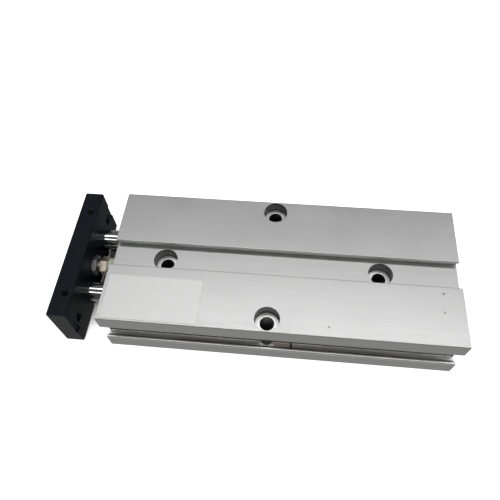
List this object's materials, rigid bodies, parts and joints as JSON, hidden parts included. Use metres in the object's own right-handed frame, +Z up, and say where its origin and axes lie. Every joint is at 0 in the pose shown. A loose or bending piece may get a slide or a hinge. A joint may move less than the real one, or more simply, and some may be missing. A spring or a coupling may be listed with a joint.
{
  "type": "guided cylinder",
  "caption": "Compact guided air cylinder: a flat extruded body with parallel chromed rods that carry one end plate, and a bolt between them that sets the stroke.",
  "frame": {"origin": "centre of the four mounting holes, on the flat underside of the body", "axes": "+X along the body, from the end plate towards the rear; +Z up, out of the face with the channel; +Y towards the side with the air ports"},
  "size_m": [0.1689, 0.064, 0.0278],
  "materials": {
    "body_anodised": "silver anodised extrusion, fine satin",
    "plate_anodised": "black anodised, satin",
    "rod_chrome": "hard chromed, polished",
    "bolt_steel": "passivated steel, slightly warm",
    "nut_steel": "zinc plated steel",
    "screw_steel": "black oxide steel",
    "ring_steel": "phosphated spring steel",
    "cover_aluminium": "turned aluminium",
    "bush_bronze": "sintered bronze",
    "seal_rubber": "black nitrile rubber",
    "cushion_rubber": "brown resilient washer",
    "bumper_urethane": "pale cast urethane",
    "magnet_composite": "plastic bonded magnet",
    "wear_plastic": "bearing plastic",
    "label_film": "blank matte film"
  },
  "bodies": {
    "barrel": {"barrel_body": "body_anodised", "cap_oring_port_side": "seal_rubber", "cap_oring_slot_side": "seal_rubber", "cover_oring_port_side": "seal_rubber", "cover_oring_slot_side": "seal_rubber", "front_cushion_port_side": "cushion_rubber", "front_cushion_slot_side": "cushion_rubber", "front_ring_port_side": "ring_steel", "front_ring_slot_side": "ring_steel", "label": "label_film", "rear_cap_port_side": "cover_aluminium", "rear_cap_slot_side": "cover_aluminium", "rear_cushion_port_side": "cushion_rubber", "rear_cushion_slot_side": "cushion_rubber", "rear_ring_port_side": "ring_steel", "rear_ring_slot_side": "ring_steel", "rod_bush_port_side": "bush_bronze", "rod_bush_slot_side": "bush_bronze", "rod_cover_port_side": "cover_aluminium", "rod_cover_slot_side": "cover_aluminium", "rod_seal_port_side": "seal_rubber", "rod_seal_slot_side": "seal_rubber"},
    "slide": {"adjusting_bolt": "bolt_steel", "end_plate": "plate_anodised", "jam_nut": "nut_steel", "piston_front_port_side": "cover_aluminium", "piston_front_slot_side": "cover_aluminium", "piston_magnet_port_side": "magnet_composite", "piston_magnet_slot_side": "magnet_composite", "piston_nut_port_side": "nut_steel", "piston_nut_slot_side": "nut_steel", "piston_rear_port_side": "cover_aluminium", "piston_rear_slot_side": "cover_aluminium", "piston_rod_port_side": "rod_chrome", "piston_rod_slot_side": "rod_chrome", "piston_seal_port_side": "seal_rubber", "piston_seal_slot_side": "seal_rubber", "plate_screw_port_side": "screw_steel", "plate_screw_slot_side": "screw_steel", "stop_bumper": "bumper_urethane", "wear_ring_port_side": "wear_plastic", "wear_ring_slot_side": "wear_plastic"}
  },
  "joints": [
    {"name": "rod_slide", "type": "slide", "parent": "barrel", "child": "slide", "axis": [-1, 0, 0], "range_m": [0, 0.075]}
  ]
}
